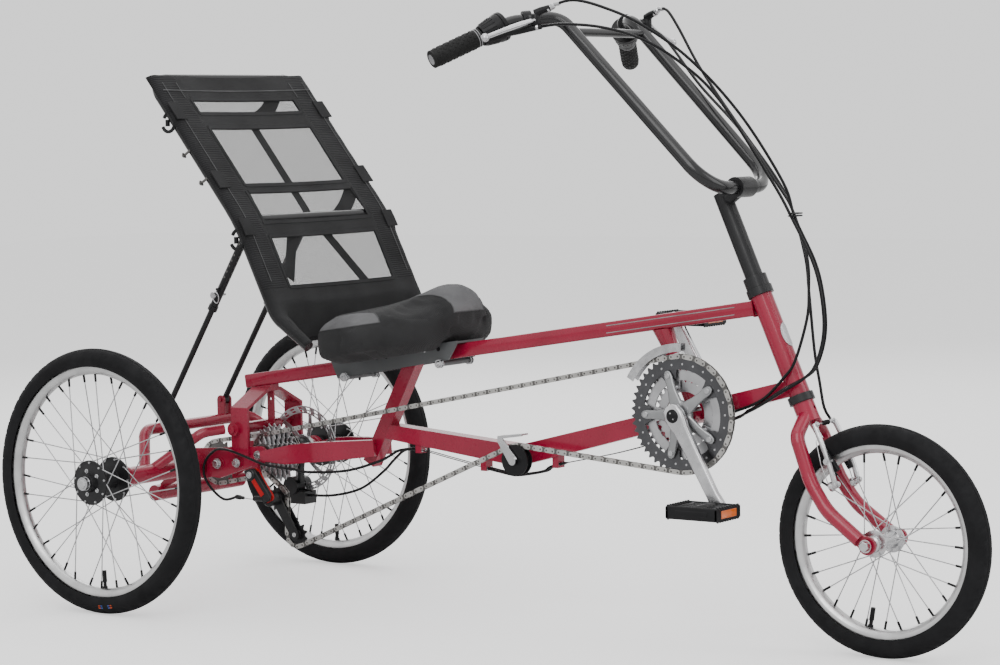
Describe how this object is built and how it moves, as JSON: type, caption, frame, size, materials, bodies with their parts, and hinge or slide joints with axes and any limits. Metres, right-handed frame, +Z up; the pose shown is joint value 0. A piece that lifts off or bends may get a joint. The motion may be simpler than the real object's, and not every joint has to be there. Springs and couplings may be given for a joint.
{
  "type": "recumbent tricycle",
  "caption": "Recumbent delta tricycle with a small steered front wheel, larger rear wheels, a cushioned seat with a reclining mesh back and high swept handlebars.",
  "frame": {"origin": "on the floor under the middle of the trike, halfway between the rear edge of the rear tyres and the front edge of the front tyre, on its centre plane", "axes": "+X forward, +Y to the rider's left, +Z up"},
  "size_m": [1.8454, 0.754, 1.0725],
  "materials": {
    "cherry_paint": "glossy candy red paint",
    "black_metal": "satin black coating",
    "silver_metal": "polished and satin",
    "chain_steel": "oiled dark steel",
    "tyre_rubber": "matte with a tread",
    "grip_rubber": "matte, ribbed",
    "black_plastic": "satin",
    "seat_fabric": "woven nylon with mesh windows",
    "cable_housing": "smooth black housing"
  },
  "bodies": {
    "frame": {"upper_beam": "cherry_paint", "diagonal_strut": "cherry_paint", "lower_beam": "cherry_paint", "front_mast": "cherry_paint", "head_tube": "cherry_paint", "headset_cups": "black_metal", "rear_yoke": "cherry_paint", "rear_stays": "cherry_paint", "rear_hoop": "cherry_paint", "axle_housings": "cherry_paint", "hub_plates": "cherry_paint", "chainstays": "cherry_paint", "mid_axle": "silver_metal", "brake_caliper": "black_metal", "rear_derailleur": "black_metal", "front_derailleur": "silver_metal", "idler_bracket": "silver_metal", "drive_chain": "chain_steel", "axle_chain": "chain_steel", "seat_bracket": "black_metal", "seat_cushion": "seat_fabric", "frame_cables": "cable_housing", "cable_guides": "silver_metal"},
    "steering": {"fork": "cherry_paint", "stem": "black_metal", "handlebar": "black_metal", "grips": "grip_rubber", "shifters": "black_plastic", "brake_levers": "silver_metal", "front_brake": "silver_metal", "front_brake_cable": "cable_housing", "steering_cables": "cable_housing"},
    "front_wheel_set": {"front_tyre": "tyre_rubber", "front_wheel": "silver_metal"},
    "rear_right_wheel_set": {"rear_right_tyre": "tyre_rubber", "rear_right_wheel": "silver_metal"},
    "rear_left_wheel_set": {"rear_left_tyre": "tyre_rubber", "rear_left_wheel": "silver_metal", "rear_axle": "silver_metal", "axle_sprocket": "chain_steel"},
    "mid_drive": {"mid_hub": "black_metal", "cassette": "silver_metal", "brake_disc": "silver_metal"},
    "crankset": {"chainrings": "chain_steel", "crank_arms": "silver_metal"},
    "right_pedal_set": {"right_pedal": "black_plastic"},
    "left_pedal_set": {"left_pedal": "black_plastic"},
    "idler": {"idler_wheel": "black_plastic"},
    "backrest": {"seat_back_frame": "black_metal", "seat_back_sling": "seat_fabric"},
    "lower_struts": {"strut_rods": "black_metal"},
    "upper_struts": {"strut_sleeves": "black_metal"}
  },
  "joints": [
    {"name": "steering", "type": "hinge", "parent": "frame", "child": "steering", "pos_m": [0.69107, 0, 0.17116], "axis": [-0.3987, 0, 0.9171], "range_deg": [-40, 40], "deforming": ["steering_cables"]},
    {"name": "front_wheel_spin", "type": "hinge", "parent": "steering", "child": "front_wheel_set", "pos_m": [0.73325, 0, 0.1895], "axis": [0, 1, 0], "continuous": true},
    {"name": "rear_right_spin", "type": "hinge", "parent": "frame", "child": "rear_right_wheel_set", "pos_m": [-0.68175, -0.331, 0.241], "axis": [0, 1, 0], "continuous": true},
    {"name": "rear_left_spin", "type": "hinge", "parent": "frame", "child": "rear_left_wheel_set", "pos_m": [-0.68175, 0.331, 0.241], "axis": [0, 1, 0], "continuous": true},
    {"name": "mid_drive_spin", "type": "hinge", "parent": "frame", "child": "mid_drive", "pos_m": [-0.52125, 0, 0.2697], "axis": [0, 1, 0], "continuous": true},
    {"name": "crank_spin", "type": "hinge", "parent": "frame", "child": "crankset", "pos_m": [0.38425, 0, 0.383], "axis": [0, 1, 0], "continuous": true},
    {"name": "right_pedal_spin", "type": "hinge", "parent": "crankset", "child": "right_pedal_set", "pos_m": [0.46925, -0.125, 0.23578], "axis": [0, 1, 0], "continuous": true},
    {"name": "left_pedal_spin", "type": "hinge", "parent": "crankset", "child": "left_pedal_set", "pos_m": [0.29925, 0.125, 0.53022], "axis": [0, 1, 0], "continuous": true},
    {"name": "idler_spin", "type": "hinge", "parent": "frame", "child": "idler", "pos_m": [0.04425, -0.046, 0.288], "axis": [0, 1, 0], "continuous": true},
    {"name": "backrest_recline", "type": "hinge", "parent": "frame", "child": "backrest", "pos_m": [-0.36375, 0, 0.45422], "axis": [0, 1, 0], "range_deg": [-10, 2]},
    {"name": "strut_swing", "type": "hinge", "parent": "frame", "child": "lower_struts", "pos_m": [-0.74175, 0, 0.35], "axis": [0, 1, 0], "range_deg": [-4, 1]},
    {"name": "strut_slide", "type": "slide", "parent": "lower_struts", "child": "upper_struts", "axis": [0.532, 0, 0.8468], "range_m": [-0.05, 0.011]}
  ],
  "couplings": [
    {"joint": "mid_drive_spin", "follows": "rear_left_spin", "ratio": 1.1111},
    {"joint": "strut_swing", "follows": "backrest_recline", "ratio": 0.2556},
    {"joint": "strut_slide", "follows": "backrest_recline", "m_per_rad": 0.2713}
  ]
}
